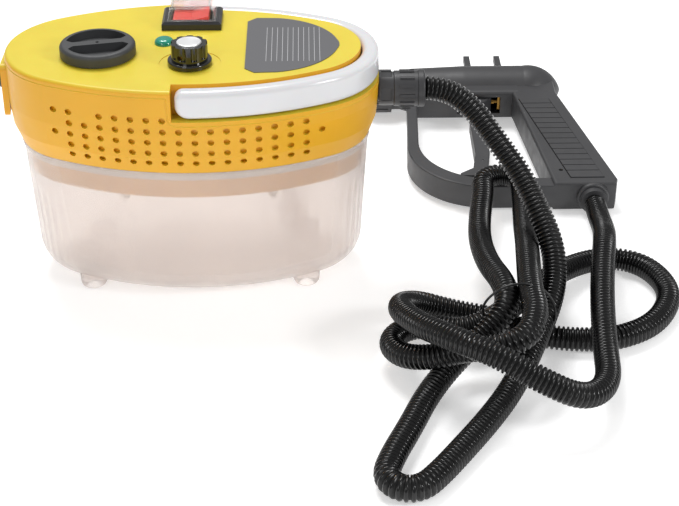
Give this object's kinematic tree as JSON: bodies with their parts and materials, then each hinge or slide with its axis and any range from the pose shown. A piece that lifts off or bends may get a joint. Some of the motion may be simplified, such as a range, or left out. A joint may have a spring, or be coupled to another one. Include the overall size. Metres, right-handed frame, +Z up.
{
  "type": "wallpaper steamer",
  "caption": "Wallpaper steamer: oval water tank under a perforated yellow housing with a folding handle, filler cap, knob and rocker switch, and a trigger gun on a corrugated steam hose.",
  "frame": {"origin": "on the standing surface under the middle of the base unit", "axes": "+Z up, +X towards the hose end of the base unit and along the whole object's length, +Y to its back"},
  "size_m": [0.4451, 0.5436, 0.1757],
  "materials": {
    "tank_plastic": "milky translucent, satin",
    "seal_rubber": "soft matte",
    "housing_plastic": "fine satin, moulded",
    "cover_plastic": "fine satin, moulded",
    "handle_plastic": "glossy white",
    "black_plastic": "satin black",
    "cap_plastic": "matt dark grey",
    "rocker_plastic": "translucent red",
    "boot_silicone": "clear, soft",
    "lens_plastic": "translucent teal green",
    "knob_cap_metal": "spun, bright",
    "brass": "turned",
    "steel": "plain",
    "label_film": "satin printed film, blank",
    "chassis_plastic": "moulded, beige",
    "motor_black": "moulded",
    "boiler_aluminium": "die cast",
    "board_green": "solder mask",
    "copper_pipe": "drawn",
    "gun_plastic": "matt dark grey, spark textured",
    "pad_rubber": "ribbed, matt",
    "hose_plastic": "glossy corrugated",
    "tie_wire": "coated wire"
  },
  "bodies": {
    "base": {"water_tank": "tank_plastic", "tank_seal": "seal_rubber", "nozzle_seal": "seal_rubber", "side_housing": "housing_plastic", "top_cover": "cover_plastic", "cord_plate": "cover_plastic", "filler_neck": "black_plastic", "switch_bezel": "black_plastic", "hose_socket": "black_plastic", "socket_nut": "black_plastic", "hose_ferrule": "black_plastic", "cord_gland": "black_plastic", "indicator_body": "black_plastic", "switch_boot": "boot_silicone", "indicator_lens": "lens_plastic", "steam_valve": "brass", "nozzle_socket": "brass", "handle_pins": "steel", "switch_terminals": "steel", "housing_screws": "steel", "trigger_pin": "steel", "trigger_spring": "steel", "nozzle_tube": "steel", "gun_screws": "steel", "thermostats": "steel", "potentiometer_nut": "steel", "rating_label": "label_film", "chassis_plate": "chassis_plastic", "suction_tube": "chassis_plastic", "suction_filter": "chassis_plastic", "water_pump": "motor_black", "potentiometer": "motor_black", "heater_block": "boiler_aluminium", "circuit_board": "board_green", "pump_pipe": "copper_pipe", "steam_pipe": "copper_pipe", "gun_pipe": "copper_pipe", "gun_left_shell": "gun_plastic", "gun_right_shell": "gun_plastic", "accessory_hooks": "gun_plastic", "left_grip_pad": "pad_rubber", "right_grip_pad": "pad_rubber", "hose_grommet": "pad_rubber", "steam_hose": "hose_plastic", "hose_tie": "tie_wire"},
    "handle": {"carry_handle": "handle_plastic"},
    "cap_ring": {"filler_cap_seal": "seal_rubber"},
    "cap": {"filler_cap": "cap_plastic"},
    "knob": {"control_knob": "black_plastic", "knob_cap": "knob_cap_metal", "knob_set_screw": "brass", "knob_shaft": "steel"},
    "rocker": {"switch_rocker": "rocker_plastic"},
    "collar": {"hose_collar": "black_plastic"},
    "trigger": {"trigger": "gun_plastic", "lock_pin": "steel"},
    "lock": {"trigger_lock": "gun_plastic"},
    "plunger": {"valve_plunger": "steel"},
    "steam_head_ring": {"nozzle_ring": "gun_plastic"}
  },
  "joints": [
    {"name": "handle_swing", "type": "hinge", "parent": "base", "child": "handle", "pos_m": [0.0025, 0, 0.1505], "axis": [0, -1, 0], "range_deg": [0, 90]},
    {"name": "cap_lift", "type": "slide", "parent": "base", "child": "cap_ring", "axis": [0, 0, 1], "range_m": [0, 0.03]},
    {"name": "cap_turn", "type": "hinge", "parent": "cap_ring", "child": "cap", "pos_m": [-0.059, -0.013, 0.16], "axis": [0, 0, 1], "range_deg": [0, 90]},
    {"name": "knob_turn", "type": "hinge", "parent": "base", "child": "knob", "pos_m": [0, -0.028, 0.16], "axis": [0, 0, 1], "range_deg": [-150, 150]},
    {"name": "rocker_tilt", "type": "hinge", "parent": "base", "child": "rocker", "pos_m": [-0.002, 0.0385, 0.16], "axis": [0, 1, 0], "range_deg": [0, 14]},
    {"name": "collar_turn", "type": "hinge", "parent": "base", "child": "collar", "pos_m": [0.1375, 0, 0.1285], "axis": [1, 0, 0], "range_deg": [0, 45]},
    {"name": "trigger_pull", "type": "hinge", "parent": "base", "child": "trigger", "pos_m": [0.215, 0.21951, 0.01929], "axis": [0, -0.0454, 0.999], "range_deg": [0, 8], "stiffness_Nm_per_rad": 1.5, "springref_deg": -11.46},
    {"name": "lock_turn", "type": "hinge", "parent": "trigger", "child": "lock", "pos_m": [0.2035, 0.10463, 0.01408], "axis": [0, -0.0454, 0.999], "range_deg": [0, 60]},
    {"name": "plunger_push", "type": "slide", "parent": "base", "child": "plunger", "axis": [1, 0, 0], "range_m": [0, 0.0015]},
    {"name": "ring_turn", "type": "hinge", "parent": "base", "child": "steam_head_ring", "pos_m": [0.132, 0.2285, 0.0197], "axis": [1, 0, 0], "range_deg": [0, 45]}
  ],
  "couplings": [
    {"joint": "plunger_push", "follows": "trigger_pull", "m_per_rad": 0.01}
  ]
}
